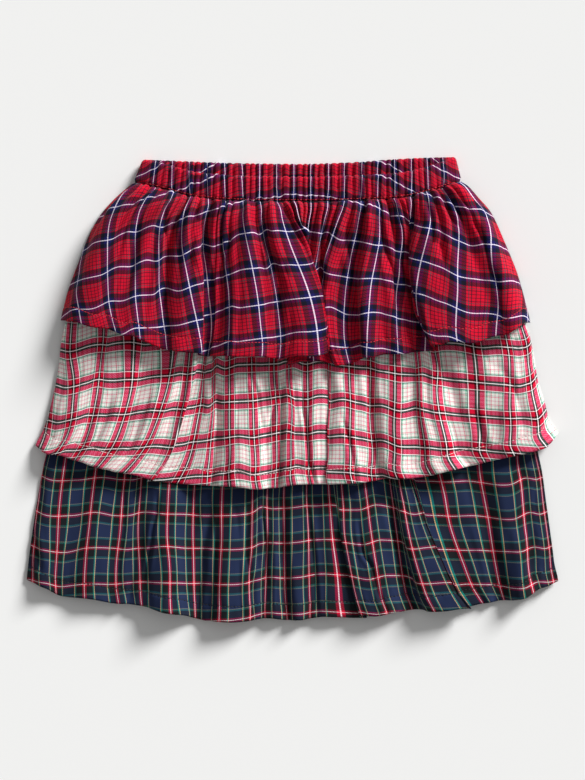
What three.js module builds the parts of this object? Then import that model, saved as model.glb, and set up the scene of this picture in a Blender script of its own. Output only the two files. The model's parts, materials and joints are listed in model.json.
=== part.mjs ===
// A child's tiered ruffle skirt, laid flat with its front up: a gathered elastic casing at the waist
// and three flared tiers of thin cloth, each longer than the one above it.
// Lengths are in millimetres. X runs across the skirt, Y towards the waist, and Z up from the surface
// that the skirt lies on.
import * as THREE from "three";

// Driving sizes
const WALL = 1.2; // one layer of cloth
const SEAM_GAP = 0.3; // between pieces that are sewn together or lie on each other
const STITCH_GAP = 0.75; // from the casing's edge down to the middle of the cloth gathered under it
const CASING_HEIGHT = 20;
const CASING_THICKNESS = 4.4;
const CASING_END_RADIUS = 2.6; // of the casing's middle, where it turns over at the sides
const CASING_LEFT = -121.8;
const CASING_RIGHT = 131;
const CASING_ARCH = 7.1; // how far the front of the casing stands off the back at the middle
const CASING_ARCH_RUN = 22; // how fast it gets there from the sides
const CASING_LEAN = { left: 22, right: -14, run: 25 }; // degrees that the ends tip, and how far in
const GATHERS = 50; // across the front, and as many across the back
const CASING_PUCKER = 0.8; // half the height of a gather on the casing
const GATHER_HALF_HEIGHT = 1.2; // of a gather just below the casing
const GATHER_REACH = 26; // how far down a gather of middling length runs before it fades
const GATHER_BULK = 0.35; // how much thicker the wall is in the gathers, so that their flanks stay as thick
const NORMAL_STEP = 3; // along the cloth, to feel which way it faces
const SIDE_ROLL = 6; // how far in from a side seam the cloth is still climbing
const BACK_COLUMNS = 20;

// Middle line of the casing, front and back
const CASING_LINE = table("x front back", [
  [-124, 175.6, 175.6],
  [-106, 171.6, 174.4],
  [-74, 163.6, 172.8],
  [-34, 160.8, 171.6],
  [6, 160.4, 171.2],
  [46, 161.2, 172.4],
  [86, 163.6, 175.2],
  [110, 169, 176.4],
  [133, 177.2, 177.2],
]);

// The three tiers. A row of sections is one level down the cloth: how far down it is, the left and
// right side seams, the height of the front cloth between its folds, the share of each fold's height
// that shows there, and the underside of the back cloth.
// A row of folds is one fold of the front: its place along the hem in flat cloth, where it lies
// at the tier's middle and at the hem, and how high it stands there. X that runs backwards is
// a tuck, where the cloth lies over itself.
const TIERS = [
  {
    name: "tier1",
    color: 0xb0283a,
    columns: 100,
    middle: 62,
    backHem: { left: 57, centre: 32, right: 55.5 },
    sections: table("down left right level share under", [
      [0, -127.4, 134.6, 15.2, 0, 0],
      [6, -132.5, 140.5, 15.9, 0.2, 0],
      [14, -140.5, 147, 16.4, 0.33, 0],
      [26, -150, 156, 15.6, 0.45, 0],
      [42, -158.6, 164, 14.6, 0.57, 0],
      [62, -166.7, 171.7, 13.6, 0.69, 0],
      [85, -174.5, 180, 12.9, 0.81, 0],
      [108, -180.7, 186, 12.4, 0.91, 0],
      [130, -185.2, 190.8, 12.2, 1, 0],
    ]),
    folds: table("cloth midX hemX hemY lift", [
      [0, -166.7, -185.2, 55.6, 0],
      [8, -163, -180.4, 54.8, 5],
      [32, -146, -158, 50.8, 9],
      [65, -124, -131.6, 43.6, 10],
      [101, -102, -105.2, 34.8, 5],
      [123, -86, -86.8, 30.8, 9],
      [140, -72.4, -71.6, 29.6, 7],
      [151, -71, -76, 29, 3.2],
      [165, -61.2, -66.8, 28, 0.5],
      [200, -44.4, -48.4, 27.2, 11],
      [222, -27.6, -24.4, 27.6, 10],
      [253, -13.2, -7.6, 26, 6.5],
      [272, 1.2, 11.6, 26.8, 11],
      [289, 19.6, 28.4, 30.4, 8],
      [330, 6, -3.6, 21.2, 4.2],
      [385, 22, 30.8, 21.2, 1],
      [411, 30, 38.8, 21.2, 3.5],
      [429, 43.6, 47.6, 22, 0.5],
      [452, 57.2, 61.2, 24.8, 6],
      [467, 70.8, 73.2, 27.6, 3],
      [480, 79.6, 84.4, 27.6, 6],
      [500, 90, 97.2, 30, 0.5],
      [518, 98.8, 115.6, 33.2, 2.6],
      [534, 91.6, 107.6, 38, 7],
      [554, 108.4, 122, 37.2, 11],
      [576, 130, 143.6, 38, 9],
      [599, 153.2, 167.6, 43.6, 5],
      [610, 160, 177.2, 48.4, 8],
      [620, 168.5, 186.6, 53.2, 5],
      [626, 171.7, 190.8, 54, 0],
    ]),
  },
  {
    name: "tier2",
    color: 0xc9455a,
    columns: 64,
    middle: 150,
    backHem: { left: -43, centre: -72, right: -33 },
    sections: table("down left right level share under", [
      [0, -121, 129, 11.8, 0, 1.5],
      [20, -142, 145, 11, 0.05, 1.5],
      [60, -164, 166.5, 8.9, 0.15, 1.5],
      [128, -182.4, 186, 8.8, 0.3, 1.5],
      [142, -185.2, 190, 7.6, 0.42, 0],
      [160, -186.9, 193.2, 7.6, 0.55, 0],
      [182, -190.6, 197, 7.6, 0.72, 0],
      [205, -195.8, 203.4, 7.6, 0.87, 0],
      [218, -200.5, 206, 7.6, 0.95, 0],
      [228, -206.3, 213.2, 7.6, 1, 0],
    ]),
    folds: table("cloth midX hemX hemY lift", [
      [0, -186, -206.3, -44.4, 0],
      [14, -179, -198, -50, 4],
      [43, -157, -186, -52.4, 6],
      [60, -149, -176.4, -56.4, 2],
      [77, -130, -166, -58.8, 6],
      [96, -115.6, -154, -62.4, 3],
      [109, -98.8, -143.6, -64.4, 7],
      [131, -90, -126, -67.6, 5],
      [146, -82, -112.4, -71.6, 7],
      [154, -81, -117, -72, 3.5],
      [166, -74, -101.2, -73.6, 1],
      [188, -67.6, -84, -75.2, 3],
      [212, -61.2, -66, -76.4, 1],
      [241, -44.4, -46, -77.6, 7],
      [264, -31.6, -29.2, -78.8, 6],
      [300, -9.2, -9.2, -77.6, 0.5],
      [328, 1.2, 4.4, -76.4, 5],
      [347, 10.8, 13.2, -76, 3],
      [362, 20, 21.5, -75.6, 2.6],
      [371, 28, 32.5, -75.4, 1],
      [381, 29, 26.8, -75.6, 5],
      [402, 42, 46, -74.8, 7],
      [443, 66.8, 70, -72.4, 1],
      [469, 84.4, 88.4, -70.8, 6],
      [482, 95.6, 102, -68.8, 5],
      [520, 113.2, 130, -63.6, 7],
      [531, 121.2, 140.4, -60.8, 1],
      [549, 145.2, 154, -58, 1.5],
      [582, 175.6, 182, -52.4, 6],
      [605, 186.8, 202, -45.6, 5],
      [616, 191.3, 213.2, -34.5, 0],
    ]),
  },
  {
    name: "tier3",
    color: 0x2f3348,
    columns: 64,
    middle: 246,
    backHem: { left: -151, centre: -181, right: -151 },
    sections: table("down left right level share under", [
      [0, -113, 121, 10.2, 0, 3],
      [20, -133, 136, 8.8, 0.05, 3],
      [60, -156, 159, 5.2, 0.1, 3],
      [128, -175.5, 179.5, 5.1, 0.2, 3],
      [142, -178, 183.8, 3.7, 0.2, 1.5],
      [200, -187.5, 193, 3.7, 0.24, 1.5],
      [224, -195.8, 196, 3.7, 0.25, 1.5],
      [234, -198.5, 198, 3.7, 0.32, 1.5],
      [246, -201.2, 200.5, 2.6, 0.42, 0],
      [270, -205, 203.5, 2.6, 0.6, 0],
      [305, -210, 208, 2.6, 0.85, 0],
      [322, -212, 210, 2.6, 0.94, 0],
      [336, -213.2, 213.2, 2.6, 1, 0],
    ]),
    folds: table("cloth midX hemX hemY lift", [
      [0, -201.2, -213.2, -152.4, 0],
      [16, -194.8, -202, -158, 6],
      [43, -174, -184.4, -164.4, 2],
      [70, -150.8, -160.4, -167.2, 5],
      [96, -131.6, -138, -171.6, 3],
      [119, -122, -122, -173.6, 5],
      [146, -99.6, -99.6, -177.6, 9],
      [187, -70.8, -70.8, -184.4, 0.5],
      [214, -48.4, -51.6, -186.8, 8],
      [232, -34, -34.8, -185.2, 7],
      [262, -21.2, -21.2, -183.6, 1.5],
      [276, -13.2, -13.2, -184, 5],
      [292, -6, -4.4, -184.4, 1],
      [307, 6, 6, -184, 4],
      [323, 13.2, 17.2, -182.4, 2],
      [343, 26, 30, -181.2, 4],
      [362, 37, 59.5, -182, 1],
      [372, 38, 54, -182, 6],
      [394, 50.8, 66, -181.2, 7],
      [417, 66, 82, -177.6, 4],
      [436, 79.6, 94.8, -176.8, 1],
      [466, 89.2, 114.8, -177.6, 8],
      [495, 100.4, 142, -173.6, 8],
      [506, 101, 135.5, -174, 3.5],
      [519, 118, 150, -171.6, 1],
      [549, 151.6, 170, -169.6, 2],
      [567, 174, 185.2, -167.6, 8],
      [586, 188.4, 198.8, -158.8, 3],
      [598, 194, 206, -157.6, 4],
      [612, 200.5, 213.2, -153.2, 0],
    ]),
  },
];

// Tables and curves
function table(names, rows) {
  const columns = {};
  names.split(" ").forEach((name, k) => {
    columns[name] = rows.map(row => row[k]);
  });
  return columns;
}

// A smooth curve through a table's rows that never swings past them
function follow(keys, values) {
  const last = keys.length - 1;
  const rises = keys.slice(1).map((key, i) => (values[i + 1] - values[i]) / (key - keys[i]));
  const slopes = values.map((value, i) => {
    const before = rises[Math.max(0, i - 1)];
    const after = rises[Math.min(last - 1, i)];
    return before * after <= 0 ? 0 : (2 * before * after) / (before + after);
  });
  return at => {
    const next = keys.findIndex(key => key >= at);
    const i = next < 0 ? last - 1 : Math.max(0, next - 1);
    const run = keys[i + 1] - keys[i];
    const f = THREE.MathUtils.clamp((at - keys[i]) / run, 0, 1);
    const ease = f * f * (3 - 2 * f);
    const leave = f * (1 - f) * (1 - f) * run * slopes[i];
    const arrive = f * f * (1 - f) * run * slopes[i + 1];
    return values[i] + (values[i + 1] - values[i]) * ease + leave - arrive;
  };
}

// Height of gather k at its crest (even) or trough (odd), no two quite alike
function gatherSize(k) {
  const swing = 0.78 + 0.22 * Math.sin(k * 2.4 + Math.sin(k * 0.9));
  return k % 2 === 0 ? swing : -swing;
}

function gatherFade(k, down) {
  const reach = GATHER_REACH * (1 + 0.5 * Math.sin(k * 1.7 + 2));
  return Math.exp(-((down / reach) ** 1.5));
}

// A cloth wall between an upper and a lower grid of points, rows running down the skirt
function clothWall(upper, lower) {
  const rows = upper.length;
  const columns = upper[0].length;
  const positions = [...upper.flat(), ...lower.flat()].flatMap(point => point.toArray());
  const at = (side, i, j) => (side * rows + i) * columns + j;
  const faces = [];
  const quad = (a, b, c, d) => faces.push(a, b, c, a, c, d);
  for (let i = 0; i < rows - 1; i += 1) {
    for (let j = 0; j < columns - 1; j += 1) {
      quad(at(0, i, j), at(0, i + 1, j), at(0, i + 1, j + 1), at(0, i, j + 1));
      quad(at(1, i, j), at(1, i, j + 1), at(1, i + 1, j + 1), at(1, i + 1, j));
    }
  }
  const rim = [];
  for (let j = 0; j < columns - 1; j += 1) rim.push([0, j]);
  for (let i = 0; i < rows - 1; i += 1) rim.push([i, columns - 1]);
  for (let j = columns - 1; j > 0; j -= 1) rim.push([rows - 1, j]);
  for (let i = rows - 1; i > 0; i -= 1) rim.push([i, 0]);
  rim.forEach(([i, j], k) => {
    const [m, n] = rim[(k + 1) % rim.length];
    quad(at(0, i, j), at(0, m, n), at(1, m, n), at(1, i, j));
  });
  return solid(positions, faces);
}

// A closed bar through a row of sections with the same number of points
function sectionBar(sections) {
  const corners = sections[0].length;
  const positions = sections.flat().flatMap(point => point.toArray());
  const faces = [];
  for (let i = 0; i < sections.length - 1; i += 1) {
    for (let j = 0; j < corners; j += 1) {
      const a = i * corners + j;
      const b = i * corners + ((j + 1) % corners);
      faces.push(a, b + corners, b, a, a + corners, b + corners);
    }
  }
  const end = (sections.length - 1) * corners;
  for (let j = 1; j < corners - 1; j += 1) {
    faces.push(0, j, j + 1);
    faces.push(end, end + j + 1, end + j);
  }
  return solid(positions, faces);
}

function solid(positions, faces) {
  const geometry = new THREE.BufferGeometry();
  geometry.setAttribute("position", new THREE.Float32BufferAttribute(positions, 3));
  geometry.setIndex(faces);
  geometry.computeVertexNormals();
  return geometry;
}

// The casing: an elastic turned into the top of the cloth, in two halves that meet at the side folds
const casingFront = follow(CASING_LINE.x, CASING_LINE.front);
const casingBack = follow(CASING_LINE.x, CASING_LINE.back);

function casingUp(x) {
  const left = CASING_LEAN.left * Math.exp((CASING_LEFT - x) / CASING_LEAN.run);
  const right = CASING_LEAN.right * Math.exp((x - CASING_RIGHT) / CASING_LEAN.run);
  const lean = THREE.MathUtils.degToRad(left + right);
  return new THREE.Vector3(Math.sin(lean), Math.cos(lean), 0);
}

// Stations along one half: a quarter turn at each side and an even run between them
function casingStations(front) {
  const turnSteps = 4;
  const split = SEAM_GAP / 2 / CASING_END_RADIUS;
  const half = CASING_THICKNESS / 2;
  const foldHeight = half + CASING_END_RADIUS;
  const side = front ? 1 : -1;
  const turns = [];
  for (let k = 0; k < turnSteps; k += 1) {
    const angle = split + ((Math.PI / 2 - split) * k) / turnSteps;
    const out = CASING_END_RADIUS * (1 - Math.cos(angle));
    const z = foldHeight + side * CASING_END_RADIUS * Math.sin(angle);
    turns.push({ out, z, normal: [Math.cos(angle), Math.sin(angle)] });
  }
  const stations = turns.map(({ out, z, normal }) => ({
    x: CASING_LEFT + out,
    z,
    normal: new THREE.Vector3(-side * normal[0], 0, normal[1]),
    pucker: 0,
  }));
  const from = CASING_LEFT + CASING_END_RADIUS;
  const to = CASING_RIGHT - CASING_END_RADIUS;
  const steps = 2 * GATHERS - 2 * turnSteps;
  for (let k = 0; k <= steps; k += 1) {
    const x = THREE.MathUtils.lerp(from, to, k / steps);
    const inside = Math.min(x - from, to - x);
    const arch = CASING_ARCH * (1 - Math.exp(-inside / CASING_ARCH_RUN));
    const z = foldHeight + side * CASING_END_RADIUS + (front ? arch : 0);
    const fade = 1 - Math.exp(-inside / CASING_HEIGHT);
    const pucker = CASING_PUCKER * gatherSize(k) * fade;
    stations.push({ x, z, normal: new THREE.Vector3(0, 0, 1), pucker });
  }
  turns.reverse().forEach(({ out, z, normal }) => {
    stations.push({
      x: CASING_RIGHT - out,
      z,
      normal: new THREE.Vector3(side * normal[0], 0, normal[1]),
      pucker: 0,
    });
  });
  return stations;
}

function casingHalf(front) {
  const line = front ? casingFront : casingBack;
  const edge = 0.5 * CASING_HEIGHT;
  const shoulder = 0.4 * CASING_HEIGHT;
  const face = 0.5 * CASING_THICKNESS;
  const rim = 0.33 * CASING_THICKNESS;
  const profile = [
    [-edge, -rim, 0],
    [-edge, rim, 0.6],
    [-shoulder, face, 1],
    [shoulder, face, 1],
    [edge, rim, 0.6],
    [edge, -rim, 0],
    [shoulder, -face, 0],
    [-shoulder, -face, 0],
  ];
  const sections = casingStations(front).map(({ x, z, normal, pucker }) => {
    const middle = new THREE.Vector3(x, line(x), z);
    const up = casingUp(x);
    return profile.map(([across, out, share]) =>
      middle.clone().addScaledVector(up, across).addScaledVector(normal, out + pucker * share),
    );
  });
  return sectionBar(sections);
}

// Stitched lower edge of one half of the casing, where the tiers hang from it
function casingEdge(line) {
  const samples = 24;
  const xs = [];
  const ys = [];
  for (let k = 0; k <= samples; k += 1) {
    const half = CASING_THICKNESS / 2;
    const x = THREE.MathUtils.lerp(CASING_LEFT - half, CASING_RIGHT + half, k / samples);
    const point = new THREE.Vector3(x, line(x), 0).addScaledVector(casingUp(x), -0.5 * CASING_HEIGHT);
    xs.push(point.x);
    ys.push(point.y - STITCH_GAP);
  }
  return follow(xs, ys);
}

const frontEdge = casingEdge(casingFront);
const backEdge = casingEdge(casingBack);

// Front of a tier: its folds spread from the casing to the hem, and roll down to the seams at the sides
function frontCloth(tier) {
  const { sections, folds } = tier;
  const depth = sections.down.at(-1);
  const clothWidth = folds.cloth.at(-1);
  const left = follow(sections.down, sections.left);
  const right = follow(sections.down, sections.right);
  const level = follow(sections.down, sections.level);
  const share = follow(sections.down, sections.share);
  const under = follow(sections.down, sections.under);
  const fold = {};
  Object.keys(folds).forEach(name => {
    fold[name] = follow(folds.cloth, folds[name]);
  });
  const across = (x, down) => (x - left(down)) / (right(down) - left(down));
  const m = tier.middle / depth;
  return (cloth, down) => {
    const start = cloth / clothWidth;
    const f = down / depth;
    const atMiddle = across(fold.midX(cloth), tier.middle);
    const atHem = across(fold.hemX(cloth), depth);
    const casingShare = ((f - m) * (f - 1)) / m;
    const middleShare = (f * (f - 1)) / (m * (m - 1));
    const hemShare = (f * (f - m)) / (1 - m);
    const place = start * casingShare + atMiddle * middleShare + atHem * hemShare;
    const x = THREE.MathUtils.lerp(left(down), right(down), place);
    const top = frontEdge(THREE.MathUtils.lerp(left(0), right(0), start));
    const y = THREE.MathUtils.lerp(top, fold.hemY(cloth), f);
    const seam = under(down) + 1.5 * WALL + SEAM_GAP;
    const inside = Math.max(0, Math.min(x - left(down), right(down) - x));
    const roll = 1 - Math.exp(-inside / SIDE_ROLL);
    const height = level(down) + fold.lift(cloth) * share(down);
    return new THREE.Vector3(x, y, THREE.MathUtils.lerp(seam, height, roll));
  };
}

function frontWall(tier, gathered) {
  const cloth = frontCloth(tier);
  const width = tier.folds.cloth.at(-1);
  const depth = tier.sections.down.at(-1);
  const sideStep = width / tier.columns / 2;
  const upper = [];
  const lower = [];
  for (const down of tier.sections.down) {
    const above = [];
    const below = [];
    for (let k = 0; k <= tier.columns; k += 1) {
      const at = (width * k) / tier.columns;
      const leftOf = cloth(Math.max(0, at - sideStep), down);
      const rightOf = cloth(Math.min(width, at + sideStep), down);
      const aboveIt = cloth(at, Math.max(0, down - NORMAL_STEP));
      const belowIt = cloth(at, Math.min(depth, down + NORMAL_STEP));
      const normal = belowIt.sub(aboveIt).cross(rightOf.sub(leftOf)).normalize();
      const fade = gathered ? gatherFade(k, down) : 0;
      const inSeam = Math.min(1, k / 2, (tier.columns - k) / 2);
      const gather = new THREE.Vector3(0, 0, GATHER_HALF_HEIGHT * gatherSize(k) * fade * inSeam);
      const half = 0.5 * WALL * (1 + GATHER_BULK * fade);
      const middle = cloth(at, down).add(gather);
      above.push(middle.clone().addScaledVector(normal, half));
      below.push(middle.clone().addScaledVector(normal, -half));
    }
    upper.push(above);
    lower.push(below);
  }
  return clothWall(upper, lower);
}

// Back of a tier: it lies flat, and steps down where the tier under it ends
function backWall(tier) {
  const { sections, backHem } = tier;
  const depth = sections.down.at(-1);
  const bulge = backHem.centre - (backHem.left + backHem.right) / 2;
  const upper = [];
  const lower = [];
  sections.down.forEach((down, i) => {
    const above = [];
    const below = [];
    for (let k = 0; k <= BACK_COLUMNS; k += 1) {
      const start = k / BACK_COLUMNS;
      const x = THREE.MathUtils.lerp(sections.left[i], sections.right[i], start);
      const top = backEdge(THREE.MathUtils.lerp(sections.left[0], sections.right[0], start));
      const hem = THREE.MathUtils.lerp(backHem.left, backHem.right, start) + bulge * 4 * start * (1 - start);
      const y = THREE.MathUtils.lerp(top, hem, down / depth);
      below.push(new THREE.Vector3(x, y, sections.under[i]));
      above.push(new THREE.Vector3(x, y, sections.under[i] + WALL));
    }
    upper.push(above);
    lower.push(below);
  });
  return clothWall(upper, lower);
}

// The skirt
const skirt = new THREE.Group();

function addPiece(name, geometry, color) {
  const material = new THREE.MeshStandardMaterial({ color, roughness: 0.9, metalness: 0 });
  const piece = new THREE.Mesh(geometry, material);
  piece.name = name;
  skirt.add(piece);
}

const CASING_COLOR = 0xa8263a;
addPiece("waistband_front", casingHalf(true), CASING_COLOR);
addPiece("waistband_back", casingHalf(false), CASING_COLOR);
TIERS.forEach((tier, k) => {
  addPiece(`${tier.name}_front`, frontWall(tier, k === 0), tier.color);
  addPiece(`${tier.name}_back`, backWall(tier), tier.color);
});

export default skirt;
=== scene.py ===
import json
import math

import bpy
import numpy as np
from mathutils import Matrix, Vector

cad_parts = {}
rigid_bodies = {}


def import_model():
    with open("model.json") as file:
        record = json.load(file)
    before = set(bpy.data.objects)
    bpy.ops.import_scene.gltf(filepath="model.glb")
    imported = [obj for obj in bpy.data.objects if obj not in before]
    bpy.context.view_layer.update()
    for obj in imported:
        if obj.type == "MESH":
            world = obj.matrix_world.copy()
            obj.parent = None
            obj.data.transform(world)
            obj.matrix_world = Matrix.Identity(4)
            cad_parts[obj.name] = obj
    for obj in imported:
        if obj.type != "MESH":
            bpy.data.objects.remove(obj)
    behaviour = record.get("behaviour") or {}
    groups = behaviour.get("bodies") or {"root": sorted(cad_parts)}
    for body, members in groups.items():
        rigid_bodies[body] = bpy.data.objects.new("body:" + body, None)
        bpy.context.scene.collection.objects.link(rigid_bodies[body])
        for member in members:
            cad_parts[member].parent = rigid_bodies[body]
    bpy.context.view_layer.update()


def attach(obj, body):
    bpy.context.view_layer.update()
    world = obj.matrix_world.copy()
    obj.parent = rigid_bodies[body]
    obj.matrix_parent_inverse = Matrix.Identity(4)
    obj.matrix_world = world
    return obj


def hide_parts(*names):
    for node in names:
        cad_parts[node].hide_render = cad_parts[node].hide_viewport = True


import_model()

bl_info = {
    "name": "Tiered ruffle skirt",
    "version": (1, 0, 0),
    "blender": (4, 5, 0),
    "location": "3D View > Sidebar > Skirt",
    "description": "Sews a child's tiered plaid skirt, laid flat, over its packed solids",
    "category": "Object",
}

MM = 0.001

# The photograph: its size, how much of the surface a pixel covers, the pixel over the origin, and
# the camera straight above
PHOTO_WIDTH = 585
PHOTO_HEIGHT = 780
MM_PER_PIXEL = 0.8
ORIGIN_PIXEL = (PHOTO_WIDTH / 2, 391.5)
CAMERA_HEIGHT = 2.6
CAMERA_RISE = 0.01
SENSOR = 36.0

# The surface under the skirt, and how far away the lamp hangs, in metres
FLOOR_SIZE = 8
FLOOR_DEPTH = 0.0002
LAMP_DISTANCE = 3

# The solids' wall and seams, then the casing: its form, its mesh, its puckers and its plaid, in
# millimetres and degrees
WALL = 1.2
SEAM_GAP = 0.3
STITCH_GAP = 0.75
CASING_HEIGHT = 20
CASING_THICKNESS = 4.4
CASING_END_RADIUS = 2.6
CASING_LEFT = -121.8
CASING_RIGHT = 131
CASING_ARCH = 7.1
CASING_ARCH_RUN = 22
CASING_LEAN_LEFT = 22
CASING_LEAN_RIGHT = -14
CASING_LEAN_RUN = 25
CASING_STATIONS = 560
CASING_FOLD_STATIONS = 8
CASING_CORNERS = 40
GATHERS = 50
CASING_PUCKER = 0.8
CASING_SCALLOP = 0.45
CASING_SHOULDER = 0.3
CASING_PINCH = 0.16
CASING_PINCH_RUN = 0.32
CASING_STITCHES = -8.2
UNSTITCHED_STATIONS = 12
BACK_PUCKER = 0.4
PUCKER_GATHER = 1.25
PUCKER_RUB = 0.5
RUB_PACE = 1.7
RUB_HEIGHT = 5
PLAID_INSET = 0.001
PLAID_SHIFT = (1.5, 1.6)
SHIFT_GATHERS = 1.6
SHIFT_GIRTH = 14

# The gathers: how far down they reach, how long the shortest and how much longer the longest are,
# how they wander, how they swell the cloth, how round a crest is, and how merged ones are offset
GATHER_REACH = 26
SHORTEST_REACH = 0.45
REACH_SPREAD = 1.3
LEAST_GATHER = 0.45
WANDER = 0.8
WANDER_RUN = 4.3
GATHER_PUFF = 0.25
ROUND_CREST = 1.6
MERGE_SHIFT = 0.37

# How the front cloth lies, in millimetres: the run of its side folds, how it drifts along the
# surface, and how its turned hem kinks. The drift grows from the casing and calms towards the hem,
# and the kinks and the sway have their own pace across. A dip is a share of the height, within limits.
SIDE_ROLL = 6
DRIFT = 1.2
DRIFT_RUN = 34
DRIFT_GROWTH = 6
DRIFT_END = 1.12
SWAY_RUN = 42
SWAY_PACE = 1.15
HEM_TURN = 12.5
HEM_KINK = 1.5
KINK_PACE = 0.9
DIP_SHARE = 0.27
DIP_LIMITS = (1.4, 5)

# How the cloth is held down: the share of its relief that is left where a tier above covers it, the
# share that goes at the casing's seam, and the runs over which it comes free
COVERED_SHARE = 0.15
COVERED_RUN = 25
SEAM_SHARE = 0.5
SEAM_RUN = 3.5

# How the back cloth lies, in millimetres: its height over what is under it, its tucks and its
# gathers. The last three make its mesh coarser and its cloth thinner than the front's.
BACK_RISE = 0.45
TUCK = 20
TUCK_CHANGE = 2.5
TUCK_DRIFT = 0.28
TUCK_LIFTS = (0.3, 0.6, 0.05)
TUCK_LIFT_CHANGE = 0.02
TUCK_END = (7, 6)
BACK_GATHER = 0.2
BACK_REACH = 1.6
BACK_COLUMN = 1.6
BACK_ROW = 2.5
BACK_CLOTH = 0.7

# Rows of the mesh at the stitches of a hem, and where the turned hem makes the cloth double
HEM_ROWS = np.array([-1.3, -0.65, 0, 0.65, 1.3])
HEM_ROWS_REACH = 1.4
HEM_EDGE = 1.2
HEM_EDGE_RUN = 0.8

# A charted crease: how far it presses in, and how high, how far off and how widely it stands up
# beside that, in its own depths and widths, and how steeply it fades in at its top and out at its foot
CREASE_PRESS = 1.5
CREASE_RISE = 0.45
CREASE_BESIDE = 2.4
CREASE_SPREAD = 1.3
CREASE_STEP = 1.5
CREASE_FADE_IN = 4
CREASE_FADE_OUT = 5

# The hem's stitches: how deep and wide they pull the cloth in, and the puckers beside them
GROOVE = 0.5
GROOVE_WIDTH = 0.85
HEM_PUCKER = 0.34
HEM_PUCKER_SIZE = (2.6, 9)
HEM_PUCKER_REACH = 7

# Plaid repeat, the same along and across the cloth, and how strongly a thread shows over the one
# that it crosses
REPEAT = 28.5
PLAIN = 0.25
BOLD = 1.5

# Colours of the sewing threads
THREADS = {
    "tier1": (0.85, 0.12, 0.2),
    "tier2": (0.96, 0.84, 0.83),
    "tier3": (0.03, 0.04, 0.07),
}

# Lights: name, the way to it, how wide it looks in degrees, strength
LIGHTS = [
    ("key_light", (0.6, 0.66, 0.38), 20, 5.2),
]
WORLD_LIGHT = 0.3


def table(names, rows):
    """A short table as one array for each named column."""
    return dict(zip(names.split(), np.array(rows, float).T))


# Small creases of the front: how far apart they lie across and down the cloth, and their height
# in crumples. FOLDS are sharp ones, along the middle FOLD_SHARE of their noise.
CRUMPLES = [
    (11, 70, 1.5),
    (5.5, 24, 0.8),
    (17, 15, 0.6),
]
FOLDS = (21, 95, 1.8)
FOLD_SHARE = 0.3

# One stitch: share of its length, height of its middle and radius, in radii of the thread
THREAD_RADIUS = 0.33
STITCH_PITCH = 1.3
STITCH_SIDES = 5
STITCH = table("place rise swell", [
    (0, -0.35, 0.5),
    (0.18, 0.5, 1),
    (0.5, 0.75, 1),
    (0.82, 0.5, 1),
    (1, -0.35, 0.5),
])

# The middle of the casing's front and back, as y at x
CASING_LINE = table("x front back", [
    (-124, 175.6, 175.6),
    (-106, 171.6, 174.4),
    (-74, 163.6, 172.8),
    (-34, 160.8, 171.6),
    (6, 160.4, 171.2),
    (46, 161.2, 172.4),
    (86, 163.6, 175.2),
    (110, 169, 176.4),
    (133, 177.2, 177.2),
])

# The three tiers. hem_radius is the curve that the flared panel's hem is cut to. The line phases
# are where the first white lines of the plaid lie: from the left seam along the hem, and up from
# the hem at the middle. warp_flare is how far the warp lines of the left and right sides stay
# straight where the bias gives, and weft_rise is how far the weft lines ride up at the sides.
# ripple is the size of the small waves, loft scales the folds' lift and sway is how far the cloth
# drifts down. row_step is the height of a mesh row where a tier above covers it, and how far down
# that is. back_hem is the back's hem at the left, middle and right. A row of sections is one level
# down the cloth, and a row of folds is one fold of the front, as in the solids, at the level
# middle and at the hem; x that runs backwards is a tuck.
UPPER_TIER = dict(
    name="tier1",
    slot="upper_plaid",
    middle=62,
    hem_radius=700,
    warp_phase=23,
    weft_phase=22,
    warp_flare=(0.75, 0.5),
    weft_rise=-4,
    ripple=17,
    loft=1.3,
    sway=2.6,
    row_step=(1.4, 0),
    back_hem=(57, 32, 55.5),
    sections=table("down left right level share under", [
        (0, -127.4, 134.6, 15.2, 0, 0),
        (6, -132.5, 140.5, 15.9, 0.2, 0),
        (14, -140.5, 147, 16.4, 0.33, 0),
        (26, -150, 156, 15.6, 0.45, 0),
        (42, -158.6, 164, 14.6, 0.57, 0),
        (62, -166.7, 171.7, 13.6, 0.69, 0),
        (85, -174.5, 180, 12.9, 0.81, 0),
        (108, -180.7, 186, 12.4, 0.91, 0),
        (130, -185.2, 190.8, 12.2, 1, 0),
    ]),
    folds=table("cloth midX hemX hemY lift", [
        (0, -166.7, -185.2, 55.6, 0),
        (8, -163, -180.4, 54.8, 5),
        (32, -146, -158, 50.8, 9),
        (65, -124, -131.6, 43.6, 10),
        (101, -102, -105.2, 34.8, 5),
        (123, -86, -86.8, 30.8, 9),
        (140, -72.4, -71.6, 29.6, 7),
        (151, -71, -76, 29, 3.2),
        (165, -61.2, -66.8, 28, 0.5),
        (200, -44.4, -48.4, 27.2, 11),
        (222, -27.6, -24.4, 27.6, 10),
        (253, -13.2, -7.6, 26, 6.5),
        (272, 1.2, 11.6, 26.8, 11),
        (289, 19.6, 28.4, 30.4, 8),
        (330, 6, -3.6, 21.2, 4.2),
        (385, 22, 30.8, 21.2, 1),
        (411, 30, 38.8, 21.2, 3.5),
        (429, 43.6, 47.6, 22, 0.5),
        (452, 57.2, 61.2, 24.8, 6),
        (467, 70.8, 73.2, 27.6, 3),
        (480, 79.6, 84.4, 27.6, 6),
        (500, 90, 97.2, 30, 0.5),
        (518, 98.8, 115.6, 33.2, 2.6),
        (534, 91.6, 107.6, 38, 7),
        (554, 108.4, 122, 37.2, 11),
        (576, 130, 143.6, 38, 9),
        (599, 153.2, 167.6, 43.6, 5),
        (610, 160, 177.2, 48.4, 8),
        (620, 168.5, 186.6, 53.2, 5),
        (626, 171.7, 190.8, 54, 0),
    ]),
)

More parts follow.
